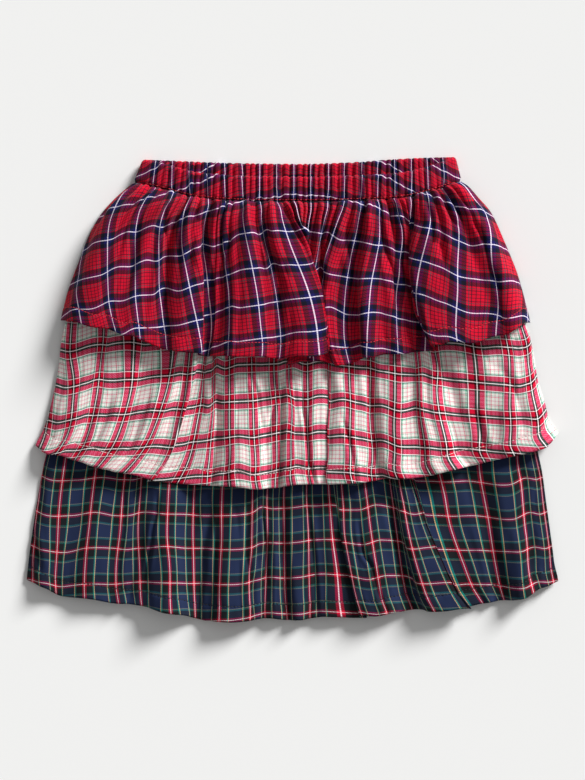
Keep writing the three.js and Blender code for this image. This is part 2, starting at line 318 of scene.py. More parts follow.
MIDDLE_TIER = dict(
    name="tier2",
    slot="middle_plaid",
    middle=150,
    hem_radius=804,
    warp_phase=7,
    weft_phase=14.5,
    warp_flare=(0.65, 0.05),
    weft_rise=10,
    ripple=20,
    loft=1.25,
    sway=2,
    row_step=(5, 118),
    back_hem=(-43, -72, -33),
    sections=table("down left right level share under", [
        (0, -121, 129, 11.8, 0, 1.5),
        (20, -142, 145, 11, 0.05, 1.5),
        (60, -164, 166.5, 8.9, 0.15, 1.5),
        (128, -182.4, 186, 8.8, 0.3, 1.5),
        (142, -185.2, 190, 7.6, 0.42, 0),
        (160, -186.9, 193.2, 7.6, 0.55, 0),
        (182, -190.6, 197, 7.6, 0.72, 0),
        (205, -195.8, 203.4, 7.6, 0.87, 0),
        (218, -200.5, 206, 7.6, 0.95, 0),
        (228, -206.3, 213.2, 7.6, 1, 0),
    ]),
    folds=table("cloth midX hemX hemY lift", [
        (0, -186, -206.3, -44.4, 0),
        (14, -179, -198, -50, 4),
        (43, -157, -186, -52.4, 6),
        (60, -149, -176.4, -56.4, 2),
        (77, -130, -166, -58.8, 6),
        (96, -115.6, -154, -62.4, 3),
        (109, -98.8, -143.6, -64.4, 7),
        (131, -90, -126, -67.6, 5),
        (146, -82, -112.4, -71.6, 7),
        (154, -81, -117, -72, 3.5),
        (166, -74, -101.2, -73.6, 1),
        (188, -67.6, -84, -75.2, 3),
        (212, -61.2, -66, -76.4, 1),
        (241, -44.4, -46, -77.6, 7),
        (264, -31.6, -29.2, -78.8, 6),
        (300, -9.2, -9.2, -77.6, 0.5),
        (328, 1.2, 4.4, -76.4, 5),
        (347, 10.8, 13.2, -76, 3),
        (362, 20, 21.5, -75.6, 2.6),
        (371, 28, 32.5, -75.4, 1),
        (381, 29, 26.8, -75.6, 5),
        (402, 42, 46, -74.8, 7),
        (443, 66.8, 70, -72.4, 1),
        (469, 84.4, 88.4, -70.8, 6),
        (482, 95.6, 102, -68.8, 5),
        (520, 113.2, 130, -63.6, 7),
        (531, 121.2, 140.4, -60.8, 1),
        (549, 145.2, 154, -58, 1.5),
        (582, 175.6, 182, -52.4, 6),
        (605, 186.8, 202, -45.6, 5),
        (616, 191.3, 213.2, -34.5, 0),
    ]),
)

LOWER_TIER = dict(
    name="tier3",
    slot="lower_plaid",
    middle=246,
    hem_radius=1221,
    warp_phase=7,
    weft_phase=5,
    warp_flare=(0.3, 0.1),
    weft_rise=6,
    ripple=24,
    loft=1.3,
    sway=2,
    row_step=(9, 214),
    back_hem=(-151, -181, -151),
    sections=table("down left right level share under", [
        (0, -113, 121, 10.2, 0, 3),
        (20, -133, 136, 8.8, 0.05, 3),
        (60, -156, 159, 5.2, 0.1, 3),
        (128, -175.5, 179.5, 5.1, 0.2, 3),
        (142, -178, 183.8, 3.7, 0.2, 1.5),
        (200, -187.5, 193, 3.7, 0.24, 1.5),
        (224, -195.8, 196, 3.7, 0.25, 1.5),
        (234, -198.5, 198, 3.7, 0.32, 1.5),
        (246, -201.2, 200.5, 2.6, 0.42, 0),
        (270, -205, 203.5, 2.6, 0.6, 0),
        (305, -210, 208, 2.6, 0.85, 0),
        (322, -212, 210, 2.6, 0.94, 0),
        (336, -213.2, 213.2, 2.6, 1, 0),
    ]),
    folds=table("cloth midX hemX hemY lift", [
        (0, -201.2, -213.2, -152.4, 0),
        (16, -194.8, -202, -158, 6),
        (43, -174, -184.4, -164.4, 2),
        (70, -150.8, -160.4, -167.2, 5),
        (96, -131.6, -138, -171.6, 3),
        (119, -122, -122, -173.6, 5),
        (146, -99.6, -99.6, -177.6, 9),
        (187, -70.8, -70.8, -184.4, 0.5),
        (214, -48.4, -51.6, -186.8, 8),
        (232, -34, -34.8, -185.2, 7),
        (262, -21.2, -21.2, -183.6, 1.5),
        (276, -13.2, -13.2, -184, 5),
        (292, -6, -4.4, -184.4, 1),
        (307, 6, 6, -184, 4),
        (323, 13.2, 17.2, -182.4, 2),
        (343, 26, 30, -181.2, 4),
        (362, 37, 59.5, -182, 1),
        (372, 38, 54, -182, 6),
        (394, 50.8, 66, -181.2, 7),
        (417, 66, 82, -177.6, 4),
        (436, 79.6, 94.8, -176.8, 1),
        (466, 89.2, 114.8, -177.6, 8),
        (495, 100.4, 142, -173.6, 8),
        (506, 101, 135.5, -174, 3.5),
        (519, 118, 150, -171.6, 1),
        (549, 151.6, 170, -169.6, 2),
        (567, 174, 185.2, -167.6, 8),
        (586, 188.4, 198.8, -158.8, 3),
        (598, 194, 206, -157.6, 4),
        (612, 200.5, 213.2, -153.2, 0),
    ]),
)

TIERS = [UPPER_TIER, MIDDLE_TIER, LOWER_TIER]


# The creases charted over the photo: depth and width in millimetres, then the photo's
# pixels that the valley runs through. Broad ones are the dips between two folds, narrow ones are
# sharp bends. Those that reach a hem run on past it.
CREASES = {
    "tier1": [
        (2.2, 1.6, [(166, 200), (165, 228), (168, 255), (168, 275), (167, 290), (164, 305), (160, 325)]),
        (1.8, 1.8, [(197, 203), (198, 222), (195, 240), (191, 255), (194, 275)]),
        (2.8, 2.6, [(214, 246), (213, 265), (210, 290), (209, 318), (208, 356), (208, 382)]),
        (1.6, 1.4, [(231, 226), (230, 245), (226, 266)]),
        (2.6, 2.4, [(256, 222), (266, 246), (277, 268), (281, 288), (281, 310), (279, 328)]),
        (2.0, 1.3, [(278, 203), (286, 217), (297, 237), (305, 250)]),
        (1.6, 1.2, [(284, 210), (293, 220), (303, 232)]),
        (1.6, 1.5, [(284, 256), (286, 270), (290, 283)]),
        (2.6, 1.8, [(321, 203), (321, 240), (322, 266), (326, 296)]),
        (2.2, 2.2, [(343, 205), (346, 228), (348, 250), (351, 270), (354, 295), (357, 338), (359, 364)]),
        (2.6, 2.2, [(377, 212), (382, 240), (386, 254), (391, 271), (395, 288), (397, 312)]),
        (2.4, 2.2, [(402, 216), (404, 248), (403, 262), (406, 280), (411, 296), (418, 318), (422, 338),
            (427, 364)]),
        (1.6, 1.3, [(410, 210), (411, 238), (408, 252)]),
        (2.0, 1.5, [(425, 203), (431, 224), (433, 242), (429, 258)]),
        (1.8, 1.5, [(443, 203), (453, 223), (459, 232)]),
        (1.8, 2.4, [(437, 240), (441, 252), (444, 268)]),
        (1.6, 1.4, [(463, 202), (477, 217), (485, 228)]),
        (1.5, 1.4, [(470, 220), (477, 231), (485, 247)]),
        (1.4, 2.6, [(488, 266), (498, 284), (503, 300)]),
        (1.4, 2.4, [(140, 214), (136, 245), (133, 275), (124, 298)]),
    ],
    "tier2": [
        (1.8, 2.4, [(217, 363), (216, 397), (217, 426), (214, 454), (211, 484), (209, 510)]),
        (1.8, 1.4, [(247, 369), (257, 397), (263, 426), (266, 438)]),
        (1.8, 1.4, [(278, 366), (276, 397), (271, 420), (266, 442), (261, 463)]),
        (2.8, 2.2, [(283, 362), (282, 411), (282, 440), (281, 469), (280, 489), (279, 515)]),
        (1.8, 1.2, [(302, 369), (303, 404), (306, 433), (309, 461), (312, 474), (318, 500)]),
        (1.6, 2.6, [(112, 396), (104, 425), (93, 450)]),
        (1.6, 2.4, [(154, 384), (141, 420), (131, 447), (121, 464)]),
        (2.6, 2.6, [(366, 362), (371, 394), (375, 419), (376, 444), (380, 466), (385, 482), (393, 508)]),
        (1.8, 1.4, [(340, 414), (348, 437), (353, 459), (355, 478), (358, 504)]),
        (2.4, 3.0, [(441, 351), (449, 380), (456, 406), (460, 424)]),
        (1.8, 2.4, [(472, 404), (480, 430), (488, 456)]),
        (1.4, 2.6, [(504, 368), (514, 390), (520, 410), (524, 436)]),
    ],
    "tier3": [
        (2.0, 3.2, [(137, 484), (139, 520), (136, 550), (132, 576), (129, 604), (126, 630)]),
        (2.0, 1.3, [(157, 489), (158, 511), (154, 526), (151, 546), (148, 568), (142, 590)]),
        (2.6, 2.6, [(213, 492), (211, 511), (206, 534), (203, 552), (201, 571), (198, 600), (195, 626)]),
        (1.6, 1.8, [(249, 495), (248, 521), (246, 552), (250, 576), (254, 606), (258, 632)]),
        (1.4, 1.1, [(260, 493), (264, 529), (266, 552), (266, 588)]),
        (2.8, 2.6, [(282, 489), (282, 537), (285, 568), (288, 604), (290, 630)]),
        (1.6, 1.4, [(306, 491), (310, 529), (314, 560), (316, 596), (318, 622)]),
        (1.6, 1.2, [(357, 519), (364, 555), (371, 568), (378, 591), (386, 613), (395, 639)]),
        (2.8, 2.8, [(384, 486), (394, 521), (401, 552), (409, 580), (417, 610), (424, 636)]),
        (2.4, 3.2, [(480, 490), (488, 534), (494, 560), (500, 591), (503, 608), (508, 634)]),
        (1.4, 2.6, [(534, 532), (530, 556), (535, 586)]),
        (1.5, 2.0, [(33, 530), (37, 556), (42, 578)]),
    ],
}


def length_property(name, description, metres, precision=5):
    return bpy.props.FloatProperty(
        name=name, description=description, default=metres, unit="LENGTH", precision=precision)


class SkirtSizes(bpy.types.PropertyGroup):
    cloth: length_property("Cloth", "Thickness of the cloth", 0.00042)
    hem: length_property("Hem", "Depth of the turned hems", 0.0125, 4)
    gather: length_property("Gather", "Half the height of a gather under the casing", 0.0022, 4)
    crumple: length_property("Crumple", "How far small creases stand out of the cloth", 0.0005)
    stitch: length_property("Stitch", "Length of one stitch", 0.0022, 4)
    spacing: length_property("Spacing", "Size of one cell of the cloth mesh", 0.00145, 4)


def colour_property(name, description, rgb):
    return bpy.props.FloatVectorProperty(
        name=name, description=description, default=rgb, subtype="COLOR_GAMMA", min=0, max=1)


class SkirtColours(bpy.types.PropertyGroup):
    upper_red: colour_property("Upper red", "Ground of the upper tier", (0.78, 0.0, 0.17))
    upper_navy: colour_property("Upper navy", "Blue band of the upper tier", (0.1, 0.09, 0.33))
    upper_black: colour_property("Upper black", "Dark band of the upper tier", (0.07, 0.07, 0.13))
    middle_cream: colour_property("Middle cream", "Ground of the middle tier", (0.93, 0.92, 0.89))
    middle_red: colour_property("Middle red", "Red band of the middle tier", (0.77, 0.0, 0.19))
    middle_green: colour_property("Middle green", "Green band of the middle tier", (0.4, 0.7, 0.58))
    lower_navy: colour_property("Lower navy", "Ground of the lower tier", (0.13, 0.17, 0.28))
    lower_green: colour_property("Lower green", "Green line of the lower tier", (0.04, 0.5, 0.45))
    white: colour_property("White", "Fine white lines", (0.95, 0.91, 0.97))
    floor: colour_property("Floor", "Surface under the skirt", (0.965, 0.965, 0.96))


# Curves and soft noise
def follow(keys, values):
    """A smooth curve through a table's rows that never swings past them."""
    keys = np.asarray(keys, float)
    values = np.asarray(values, float)
    rises = np.diff(values) / np.diff(keys)
    before = np.concatenate([rises[:1], rises])
    after = np.concatenate([rises, rises[-1:]])
    both = before + after
    slopes = np.where(before * after > 0, 2 * before * after / np.where(both == 0, 1, both), 0)

    def curve(at):
        at = np.asarray(at, float)
        i = np.clip(np.searchsorted(keys, at, side="right") - 1, 0, len(keys) - 2)
        run = keys[i + 1] - keys[i]
        f = np.clip((at - keys[i]) / run, 0, 1)
        ease = f * f * (3 - 2 * f)
        leave = f * (1 - f) ** 2 * run * slopes[i]
        arrive = f * f * (1 - f) * run * slopes[i + 1]
        return values[i] + (values[i + 1] - values[i]) * ease + leave - arrive

    return curve


def lerp(a, b, f):
    return a + (b - a) * f


def soft_noise(seed, across, along):
    """Smooth heights from -1 to 1 that change once in each unit of across and along."""
    size = 256
    lattice = np.random.default_rng(seed).uniform(-1, 1, (size, size))
    i = np.floor(along).astype(int)
    j = np.floor(across).astype(int)
    f = along - i
    g = across - j
    f = f * f * (3 - 2 * f)
    g = g * g * (3 - 2 * g)
    corner = [[lattice[(i + m) % size, (j + n) % size] for n in (0, 1)] for m in (0, 1)]
    near = lerp(corner[0][0], corner[0][1], g)
    far = lerp(corner[1][0], corner[1][1], g)
    return lerp(near, far, f)


# The casing's lines, as in the solids
casing_front = follow(CASING_LINE["x"], CASING_LINE["front"])
casing_back = follow(CASING_LINE["x"], CASING_LINE["back"])


def casing_up(x):
    """The direction of the casing's height at x, in the plane of the surface."""
    left = CASING_LEAN_LEFT * np.exp((CASING_LEFT - x) / CASING_LEAN_RUN)
    right = CASING_LEAN_RIGHT * np.exp((x - CASING_RIGHT) / CASING_LEAN_RUN)
    lean = np.radians(left + right)
    return np.stack([np.sin(lean), np.cos(lean), np.zeros_like(lean)], -1)


def casing_edge(line):
    """The stitched lower edge of one half of the casing, as y at x."""
    half = CASING_THICKNESS / 2
    x = np.linspace(CASING_LEFT - half, CASING_RIGHT + half, 60)
    points = np.stack([x, line(x), 0 * x], -1) - 0.5 * CASING_HEIGHT * casing_up(x)
    return follow(points[:, 0], points[:, 1] - STITCH_GAP)


front_edge = casing_edge(casing_front)
back_edge = casing_edge(casing_back)


def gather_place(x):
    """How many half gathers lie left of x along the casing's lower edge."""
    top = UPPER_TIER["sections"]
    return 2 * GATHERS * (x - top["left"][0]) / (top["right"][0] - top["left"][0])


# The gathers merge into wider ones further down: height in gathers, how many merge, and reach
GATHER_LEVELS = {
    "tier1": ((1.0, 1, 1.5), (1.1, 2, 3.2), (1.15, 4, 8)),
    "tier2": ((1.0, 1, 2.4), (0.65, 2, 6), (0.8, 4, 15)),
    "tier3": ((1.0, 1, 2.4), (0.55, 2, 6), (0.85, 4, 17)),
}


def gather_height(k, down, reach_scale=1.0):
    """Broad crests (even k) and narrow troughs (odd k) of the gathers, each with its own size."""
    whole = np.arange(-1, 2 * GATHERS + 3)
    chance = np.random.default_rng(4)
    swing = chance.uniform(LEAST_GATHER, 1, len(whole))
    size = np.where(whole % 2 == 0, swing, -swing)
    longer = chance.uniform(0, 1, len(whole)) ** 1.5
    reach = reach_scale * GATHER_REACH * (SHORTEST_REACH + REACH_SPREAD * longer)
    heights = size * np.exp(-((np.maximum(down, 0)[:, None] / reach) ** 1.5))
    k = np.clip(k, 0, 2 * GATHERS)
    ends = np.clip(np.minimum(k, 2 * GATHERS - k) / 2, 0, 1)
    k = k + WANDER * ends * soft_noise(9, k / WANDER_RUN, 0 * k)
    i = np.floor(k).astype(int)
    f = k - i
    f = np.where(i % 2 == 0, f ** ROUND_CREST, 1 - (1 - f) ** ROUND_CREST)
    ease = (1 - np.cos(np.pi * f)) / 2
    return lerp(heights[:, i + 1], heights[:, i + 2], ease) * ends


# The cloth of each tier
def tier_size(tier):
    return tier["folds"]["cloth"][-1], tier["sections"]["down"][-1]


def plaid_place(tier, cloth, down):
    """Where a point of the flared panel lies on the straight grain, in plaid repeats."""
    width, depth = tier_size(tier)
    radius = tier["hem_radius"] - depth + down
    flare = lerp(*tier["warp_flare"], cloth / width)
    warp_radius = lerp(tier["hem_radius"], radius, flare)
    angle = np.arcsin((cloth - width / 2) / tier["hem_radius"])
    warp = warp_radius * np.sin(angle) + width / 2 - tier["warp_phase"]
    side = (2 * cloth / width - 1) ** 4
    weft = tier["hem_radius"] - tier["weft_phase"] - radius * np.cos(angle) - side * tier["weft_rise"]
    return np.stack(np.broadcast_arrays(warp, weft), -1) / REPEAT


def panel_sections(tier, down):
    sections = tier["sections"]
    return {name: follow(sections["down"], sections[name])(down)[:, None] for name in sections}


def front_surface(tier, cloth, down):
    """The middle of the front cloth, on a grid of rows down the cloth, and its place at the casing."""
    width, depth = tier_size(tier)
    sections = tier["sections"]
    here = panel_sections(tier, down)
    folds = tier["folds"]
    fold = {name: follow(folds["cloth"], folds[name])(cloth)[None, :] for name in folds}
    left = follow(sections["down"], sections["left"])
    right = follow(sections["down"], sections["right"])
    middle = tier["middle"]
    at_middle = (fold["midX"] - left(middle)) / (right(middle) - left(middle))
    at_hem = (fold["hemX"] - left(depth)) / (right(depth) - left(depth))
    start = (cloth / width)[None, :]
    f = (down / depth)[:, None]
    m = middle / depth
    casing_share = (f - m) * (f - 1) / m
    middle_share = f * (f - 1) / (m * (m - 1))
    hem_share = f * (f - m) / (1 - m)
    place = start * casing_share + at_middle * middle_share + at_hem * hem_share
    x = lerp(here["left"], here["right"], place)
    top_x = lerp(sections["left"][0], sections["right"][0], start)
    y = lerp(front_edge(top_x), fold["hemY"], f)
    calm = np.minimum(1, DRIFT_GROWTH * f * (DRIFT_END - f))
    seam = here["under"] + 1.5 * WALL + SEAM_GAP
    inside = np.maximum(0, np.minimum(x - here["left"], here["right"] - x))
    roll = 1 - np.exp(-inside / SIDE_ROLL)
    z = lerp(seam, here["level"] + tier["loft"] * fold["lift"] * here["share"], roll)
    across = cloth[None, :] / tier["ripple"]
    seed = int(tier["hem_radius"])
    x = x + DRIFT * calm * roll * soft_noise(seed, across, down[:, None] / DRIFT_RUN)
    kink = np.maximum(0, down - depth + HEM_TURN)[:, None] / HEM_TURN
    x = x + HEM_KINK * kink * roll * soft_noise(seed + 2, across * KINK_PACE, 0 * f)
    sway = tier["sway"] * soft_noise(seed + 1, across * SWAY_PACE, down[:, None] / SWAY_RUN)
    y = y + sway * calm * roll
    return np.stack([x, y, z], -1), top_x[0]


def back_folds(tier):
    """Flat knife tucks that the back lies in: cloth, share of the width and height of each edge."""
    width, depth = tier_size(tier)
    laid = tier["sections"]["right"][-1] - tier["sections"]["left"][-1]
    tucks = round((width - laid) / TUCK)
    low, high, end = TUCK_LIFTS
    end_cloth, end_x = TUCK_END
    rows = [(0, 0, 0)]
    for k in range(tucks):
        deep = TUCK / 2 + TUCK_CHANGE * math.sin(3.1 * k + 1)
        edge = (k + 1 + TUCK_DRIFT * math.sin(2.3 * k)) / (tucks + 1)
        flat = (width - TUCK * tucks) * edge + TUCK * k
        side = 1 if k % 3 else -1
        rows.append((flat, edge * laid, 0))
        rows.append((flat + deep, edge * laid - deep, low + TUCK_LIFT_CHANGE * side))
        rows.append((flat + 2 * deep, edge * laid, high))
        rows.append((flat + 2 * deep + end_cloth, edge * laid + end_x, end))
    rows.append((width, laid, 0))
    return table("cloth x lift", rows)


def back_surface(tier, cloth, down):
    """The middle of the back cloth, which lies flat on what is under it but for shallow tucks."""
    width, depth = tier_size(tier)
    sections = tier["sections"]
    here = panel_sections(tier, down)
    tucks = back_folds(tier)
    start = (cloth / width)[None, :]
    f = (down / depth)[:, None]
    at_hem = follow(tucks["cloth"], tucks["x"])(cloth)[None, :] / tucks["x"][-1]
    spread = np.sqrt(f)
    x = lerp(here["left"], here["right"], lerp(start, at_hem, spread))
    top_x = lerp(sections["left"][0], sections["right"][0], start)
    left, centre, right = tier["back_hem"]
    along = (x - here["left"]) / (here["right"] - here["left"])
    hem = lerp(left, right, along) + (centre - (left + right) / 2) * 4 * along * (1 - along)
    y = lerp(back_edge(top_x), hem, f)
    lift = follow(tucks["cloth"], tucks["lift"])(cloth)[None, :] * np.minimum(1, 3 * f)
    return np.stack([x, y, here["under"] + BACK_RISE + lift + 0 * x], -1), top_x[0]


# Meshes
def facing(points):
    """Unit normals of a grid whose rows run down the cloth."""
    down = np.gradient(points, axis=0)
    across = np.gradient(points, axis=1)
    normal = np.cross(down, across)
    return normal / np.maximum(np.linalg.norm(normal, axis=-1, keepdims=True), 1e-9)


def grid_faces(rows, columns):
    """Faces of a closed shell: an upper grid, a lower grid and the rim between them."""
    at = np.arange(rows * columns).reshape(rows, columns)
    low = at + rows * columns
    upper = np.stack([at[:-1, :-1], at[1:, :-1], at[1:, 1:], at[:-1, 1:]], -1).reshape(-1, 4)
    lower = np.stack([low[:-1, :-1], low[:-1, 1:], low[1:, 1:], low[1:, :-1]], -1).reshape(-1, 4)
    rim = np.concatenate([at[0, :-1], at[:-1, -1], at[-1, :0:-1], at[:0:-1, 0]])
    after = np.roll(rim, -1)
    shift = rows * columns
    wall = np.stack([rim, after, after + shift, rim + shift], -1)
    return np.concatenate([upper, lower, wall])


def make_object(name, points, faces, places, material):
    """A smooth mesh in metres from points in millimetres, with its place on the cloth as UV."""
    mesh = bpy.data.meshes.new(name)
    mesh.from_pydata((points * MM).tolist(), [], faces if isinstance(faces, list) else faces.tolist())
    corners = np.empty(len(mesh.loops), dtype=np.int32)
    mesh.loops.foreach_get("vertex_index", corners)
    layer = mesh.uv_layers.new(name="cloth")
    layer.data.foreach_set("uv", places[corners].astype(np.float32).ravel())
    mesh.shade_smooth()
    mesh.materials.append(material)
    piece = bpy.data.objects.new(name, mesh)
    bpy.context.scene.collection.objects.link(piece)
    return piece


def cloth_shell(name, surface, lift, thickness, places, material):
    """A thin shell of cloth: a surface, raised by lift, with the cloth's thickness to both sides."""
    raised = surface + facing(surface) * lift[..., None]
    normal = facing(raised)
    rows, columns = lift.shape
    half = np.broadcast_to(thickness, lift.shape).copy() / 2
    half[[0, -1], :] *= 0.5
    half[:, [0, -1]] *= 0.5
    upper = raised + normal * half[..., None]
    lower = raised - normal * half[..., None]
    points = np.concatenate([upper.reshape(-1, 3), lower.reshape(-1, 3)])
    both = np.concatenate([places.reshape(-1, 2)] * 2)
    piece = make_object(name, points, grid_faces(rows, columns), both, material)
    return piece, upper, normal


# Materials
def paint(colour):
    """A colour as the eye reads it, as the light that it gives back."""
    channels = [c / 12.92 if c <= 0.04045 else ((c + 0.055) / 1.055) ** 2.4 for c in colour]
    return (*channels, 1.0)


VALUE = "NodeSocketFloat"
VECTOR = "NodeSocketVector"
COLOUR = "NodeSocketColor"


def add_node(tree, kind, at, inputs=None, **settings):
    """A node of a kind at a place, with its own settings and with values for its inputs."""
    node = tree.nodes.new(kind)
    node.location = at
    for name, value in settings.items():
        setattr(node, name, value)
    for name, value in (inputs or {}).items():
        node.inputs[name].default_value = value
    return node


def math_node(tree, operation, at, inputs=None, **settings):
    return add_node(tree, "ShaderNodeMath", at, inputs, operation=operation, **settings)


def wire(tree, links):
    """Links a tree's nodes, from rows of (node, output, node, input)."""
    for source, output, target, entry in links:
        tree.links.new(source.outputs[output], target.inputs[entry])


def group_tree(name, inputs, outputs):
    """A node group with sockets from rows of (name, kind, default), and its two end nodes."""
    tree = bpy.data.node_groups.new(name, "ShaderNodeTree")
    for way, rows in (("INPUT", inputs), ("OUTPUT", outputs)):
        for label, kind, *default in rows:
            socket = tree.interface.new_socket(name=label, in_out=way, socket_type=kind)
            if default:
                socket.default_value = default[0]
    start = add_node(tree, "NodeGroupInput", (-1200, 0))
    end = add_node(tree, "NodeGroupOutput", (450, 0))
    return tree, start, end


def shared_group(name, make):
    return bpy.data.node_groups.get(name) or make()


def empty_material(name):
    material = bpy.data.materials.new(name)
    material.use_nodes = True
    material.node_tree.nodes.clear()
    return material, material.node_tree


def stripe_group(name, stripes):
    """The threads of one direction: their colour, and how strongly they show over the other way's.

    stripes holds rows of (outer edge in millimetres from the middle white line, colour, strength).
    """
    tree, start, end = group_tree(
        name, [("Place", VALUE, 0.0)], [("Colour", COLOUR), ("Strength", VALUE)])
    fold = math_node(tree, "PINGPONG", (-900, 0), {1: 0.5})
    double = math_node(tree, "MULTIPLY", (-600, 0), {1: 2.0})
    ramp = add_node(tree, "ShaderNodeValToRGB", (-200, 0))
    ramp.color_ramp.interpolation = "CONSTANT"
    elements = ramp.color_ramp.elements
    elements.remove(elements[1])
    inner = 0.0
    for k, (outer, colour, strength) in enumerate(stripes):
        element = elements[0] if k == 0 else elements.new(inner / (REPEAT / 2))
        element.position = inner / (REPEAT / 2)
        element.color = (*colour[:3], strength)
        inner = outer
    wire(tree, [
        (start, "Place", fold, 0),
        (fold, 0, double, 0),
        (double, 0, ramp, "Fac"),
        (ramp, "Color", end, "Colour"),
        (ramp, "Alpha", end, "Strength"),
    ])
    return tree


def twill_group():
    """Warp and weft woven into a twill: the mixed colour, and the height of the threads."""
    tree, start, end = group_tree("Twill weave", [
        ("Place", VECTOR),
        ("Warp", COLOUR),
        ("Weft", COLOUR),
        ("Warp strength", VALUE, 0.5),
        ("Weft strength", VALUE, 0.5),
        ("Threads", VALUE, 60.0),
        ("Contrast", VALUE, 0.3),
    ], [("Colour", COLOUR), ("Height", VALUE)])
    threads = add_node(tree, "ShaderNodeVectorMath", (-1000, 200), operation="SCALE")
    split = add_node(tree, "ShaderNodeSeparateXYZ", (-800, 200))
    diagonal = math_node(tree, "ADD", (-600, 260))
    turn = math_node(tree, "MULTIPLY", (-420, 260), {1: math.pi / 2})
    rib = math_node(tree, "SINE", (-240, 260))
    thread_turn = math_node(tree, "MULTIPLY", (-600, 60), {1: 2 * math.pi})
    thread = math_node(tree, "COSINE", (-420, 60))
    total = math_node(tree, "ADD", (-800, -200))
    share = math_node(tree, "DIVIDE", (-600, -200))
    swing = math_node(tree, "MULTIPLY", (-240, 60))
    factor = math_node(tree, "ADD", (-60, -100), use_clamp=True)
    mix = add_node(tree, "ShaderNodeMix", (140, 0), data_type="RGBA")
    light = add_node(tree, "ShaderNodeGamma", (280, 0), {"Gamma": 2.2})
    height = math_node(tree, "MULTIPLY_ADD", (140, 260), {1: 0.35})
    wire(tree, [
        (start, "Place", threads, 0),
        (start, "Threads", threads, "Scale"),
        (threads, 0, split, 0),
        (split, "X", diagonal, 0),
        (split, "Y", diagonal, 1),
        (diagonal, 0, turn, 0),
        (turn, 0, rib, 0),
        (split, "X", thread_turn, 0),
        (thread_turn, 0, thread, 0),
        (start, "Warp strength", total, 0),
        (start, "Weft strength", total, 1),
        (start, "Weft strength", share, 0),
        (total, 0, share, 1),
        (rib, 0, swing, 0),
        (start, "Contrast", swing, 1),
        (share, 0, factor, 0),
        (swing, 0, factor, 1),
        (factor, 0, mix, 0),
        (start, "Warp", mix, 6),
        (start, "Weft", mix, 7),
        (mix, 2, light, "Color"),
        (light, "Color", end, "Colour"),
        (thread, 0, height, 0),
        (rib, 0, height, 2),
        (height, 0, end, "Height"),
    ])
    return tree


def worn_group():
    """Cotton that has been washed: a little lighter and darker in soft patches, with fine flecks."""
    tree, start, end = group_tree("Washed cotton", [
        ("Colour", COLOUR),
        ("Place", VECTOR),
        ("Patches", VALUE, 0.06),
        ("Flecks", VALUE, 0.1),
    ], [("Colour", COLOUR)])
    patch = add_node(tree, "ShaderNodeTexNoise", (-950, 200), {"Scale": 1.3, "Detail": 3.0})
    fleck = add_node(tree, "ShaderNodeTexNoise", (-950, -100), {"Scale": 46.0, "Detail": 2.0})
    centre_patch = math_node(tree, "SUBTRACT", (-700, 200), {1: 0.5})
    centre_fleck = math_node(tree, "SUBTRACT", (-700, -100), {1: 0.5})
    patch_part = math_node(tree, "MULTIPLY_ADD", (-450, 200), {2: 1.0})
    fleck_part = math_node(tree, "MULTIPLY_ADD", (-200, -100))
    shade = add_node(tree, "ShaderNodeHueSaturation", (100, 0))
    wire(tree, [
        (start, "Place", patch, "Vector"),
        (start, "Place", fleck, "Vector"),
        (patch, "Fac", centre_patch, 0),
        (fleck, "Fac", centre_fleck, 0),
        (centre_patch, 0, patch_part, 0),
        (start, "Patches", patch_part, 1),
        (centre_fleck, 0, fleck_part, 0),
        (start, "Flecks", fleck_part, 1),
        (patch_part, 0, fleck_part, 2),
        (fleck_part, 0, shade, "Value"),
        (start, "Colour", shade, "Color"),
        (shade, "Color", end, "Colour"),
    ])
    return tree


def plaid_material(name, warp_stripes, weft_stripes):
    """Plaid cotton: stripes along and across the cloth, woven as a twill."""
    material, tree = empty_material(name)

    def group(inner, at, **inputs):
        return add_node(tree, "ShaderNodeGroup", at, inputs, node_tree=inner)

    place = add_node(tree, "ShaderNodeUVMap", (-1300, 0), uv_map="cloth")
    split = add_node(tree, "ShaderNodeSeparateXYZ", (-1100, 0))
    warp = group(stripe_group(name + " warp", warp_stripes), (-900, 150))
    weft = group(stripe_group(name + " weft", weft_stripes), (-900, -150))
    weave = group(shared_group("Twill weave", twill_group), (-600, 0), Threads=62.0, Contrast=0.1)
    cotton = group(shared_group("Washed cotton", worn_group), (-350, 0), Patches=0.16, Flecks=0.3)
    bump = add_node(tree, "ShaderNodeBump", (-100, -250), {"Strength": 0.25, "Distance": 0.00012})
    shader = add_node(tree, "ShaderNodeBsdfPrincipled", (150, 0), {
        "Roughness": 0.88,
        "Specular IOR Level": 0.16,
        "Sheen Weight": 0.05,
        "Sheen Roughness": 0.5,
    })
    out = add_node(tree, "ShaderNodeOutputMaterial", (450, 0))
    wire(tree, [
        (place, "UV", split, 0),
        (split, "X", warp, "Place"),
        (split, "Y", weft, "Place"),
        (place, "UV", weave, "Place"),
        (warp, "Colour", weave, "Warp"),
        (weft, "Colour", weave, "Weft"),
        (warp, "Strength", weave, "Warp strength"),
        (weft, "Strength", weave, "Weft strength"),
        (weave, "Colour", cotton, "Colour"),
        (place, "UV", cotton, "Place"),
        (cotton, "Colour", shader, "Base Color"),
        (weave, "Height", bump, "Height"),
        (bump, "Normal", shader, "Normal"),
        (shader, "BSDF", out, "Surface"),
    ])
    return material


def upper_plaid(colours):
    """Red with dark and navy bands and white lines, the same both ways."""
    ground = colours.upper_red
    dark = colours.upper_black
    grey = (0.26, 0.31, 0.3)
    stripes = [
        (0.37, colours.white, BOLD),
        (2.8, colours.upper_navy, 0.32),
        (6.2, dark, 0.32),
        (7.6, ground, PLAIN),
        (8.3, grey, 0.34),
        (9.5, ground, PLAIN),
        (10.1, dark, 0.36),
        (12.5, ground, PLAIN),
        (13, dark, 0.36),
        (14.25, ground, PLAIN),
    ]
    return stripes, stripes


